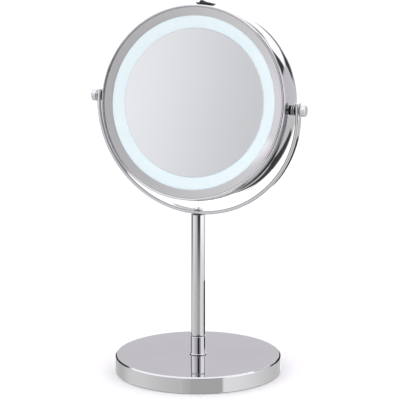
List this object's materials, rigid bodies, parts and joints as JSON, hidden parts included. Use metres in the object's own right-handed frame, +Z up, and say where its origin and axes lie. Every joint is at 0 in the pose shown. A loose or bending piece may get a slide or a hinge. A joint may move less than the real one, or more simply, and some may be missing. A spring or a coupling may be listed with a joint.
{
  "type": "lighted vanity mirror",
  "caption": "Table-top round two-sided vanity mirror with a lit opal ring, tilting in a half-ring yoke on a post and a weighted round base.",
  "frame": {"origin": "on the standing surface, under the centre of the base and post", "axes": "+Z up, -Y towards the person who looks into the lit front mirror, +X along the head's pivot axis"},
  "size_m": [0.1998, 0.1468, 0.3306],
  "materials": {
    "chrome": "polished chrome plate",
    "mirror_glass": "silvered mirror glass",
    "opal_diffuser": "satin opal plastic, lit cool white from behind",
    "white_plastic": "matt moulded white",
    "black_plastic": "moulded black, semi-gloss",
    "black_rubber": "matt black rubber",
    "steel": "zinc-plated steel",
    "brass": "plain brass",
    "cast_iron": "grey cast iron",
    "circuit_board": "white solder mask",
    "led_chip": "clear lens over yellow phosphor",
    "battery_wrap": "plain green wrap, unmarked",
    "red_wire": "red insulation",
    "black_wire": "black insulation"
  },
  "bodies": {
    "root": {"base_cover": "chrome", "base_weight": "cast_iron", "base_pad": "black_rubber", "base_washer": "steel", "base_bolt": "steel", "post_collar": "chrome", "post_tube": "chrome", "post_insert_bottom": "steel", "post_insert_top": "steel", "yoke": "chrome", "yoke_screw": "chrome", "yoke_bush_right": "black_plastic", "yoke_bush_left": "black_plastic"},
    "head": {"front_bezel": "chrome", "drum_housing": "chrome", "pivot_screw_right": "chrome", "pivot_screw_left": "chrome", "front_mirror": "mirror_glass", "diffuser_ring": "opal_diffuser", "reflector_tray": "white_plastic", "battery_tray": "black_plastic", "switch_body": "black_plastic", "pivot_spacer_right": "black_rubber", "pivot_spacer_left": "black_rubber", "tray_screw_1": "steel", "tray_screw_2": "steel", "tray_screw_3": "steel", "battery_tray_screw_1": "steel", "battery_tray_screw_2": "steel", "contact_plate_1": "steel", "contact_plate_2": "steel", "contact_plate_3": "steel", "contact_spring_1": "steel", "contact_spring_2": "steel", "contact_spring_3": "steel", "pivot_insert_right": "brass", "pivot_insert_left": "brass", "switch_terminal_1": "brass", "switch_terminal_2": "brass", "led_board": "circuit_board", "led_01": "led_chip", "led_02": "led_chip", "led_03": "led_chip", "led_04": "led_chip", "led_05": "led_chip", "led_06": "led_chip", "led_07": "led_chip", "led_08": "led_chip", "led_09": "led_chip", "led_10": "led_chip", "battery_1": "battery_wrap", "battery_2": "battery_wrap", "battery_3": "battery_wrap", "wire_switch_to_board": "red_wire", "wire_battery_to_switch": "red_wire", "wire_battery_to_board": "black_wire"},
    "rear_cover": {"rear_bezel": "chrome", "rear_mirror": "mirror_glass", "rear_backing_plate": "black_plastic"},
    "rocker": {"rocker": "black_plastic"}
  },
  "joints": [
    {"name": "head_tilt", "type": "hinge", "parent": "root", "child": "head", "pos_m": [0, 0, 0.2422], "axis": [1, 0, 0], "continuous": true},
    {"name": "switch_rocker", "type": "hinge", "parent": "head", "child": "rocker", "pos_m": [0, 0.01806, 0.32708], "axis": [0, 0.9782, -0.2076], "range_deg": [-28, 0]},
    {"name": "rear_cover_lift", "type": "slide", "parent": "head", "child": "rear_cover", "axis": [0, 0.9782, -0.2076], "range_m": [0, 0.015]}
  ]
}
